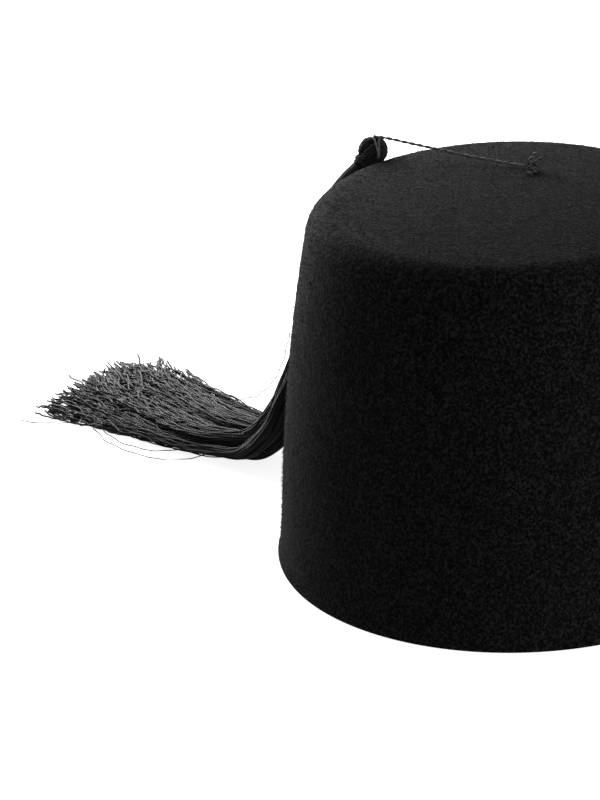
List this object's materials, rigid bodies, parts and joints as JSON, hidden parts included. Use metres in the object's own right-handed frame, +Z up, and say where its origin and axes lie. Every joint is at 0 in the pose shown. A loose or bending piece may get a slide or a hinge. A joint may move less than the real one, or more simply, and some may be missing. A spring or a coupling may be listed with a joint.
{
  "type": "fez hat with tassel",
  "caption": "Tapered felt cap with a flat domed top, open below, and a long corded tassel that hangs over its back and lies spread on the surface beside it.",
  "frame": {"origin": "middle of the circle of the rim, on the surface that the hat stands on", "axes": "+Z up along the crown's own axis, -Y towards the viewer of the picture, and the tassel leaves towards -X +Y"},
  "size_m": [0.3161, 0.2753, 0.159],
  "materials": {
    "felt": "brushed wool felt, near black, matt with a faint nap",
    "thread": "twisted silky thread, near black, soft sheen"
  },
  "bodies": {
    "root": {"felt_crown": "felt", "tassel_cord": "thread", "cord_knot": "thread", "tassel": "thread", "neck_binding": "thread"}
  },
  "joints": []
}
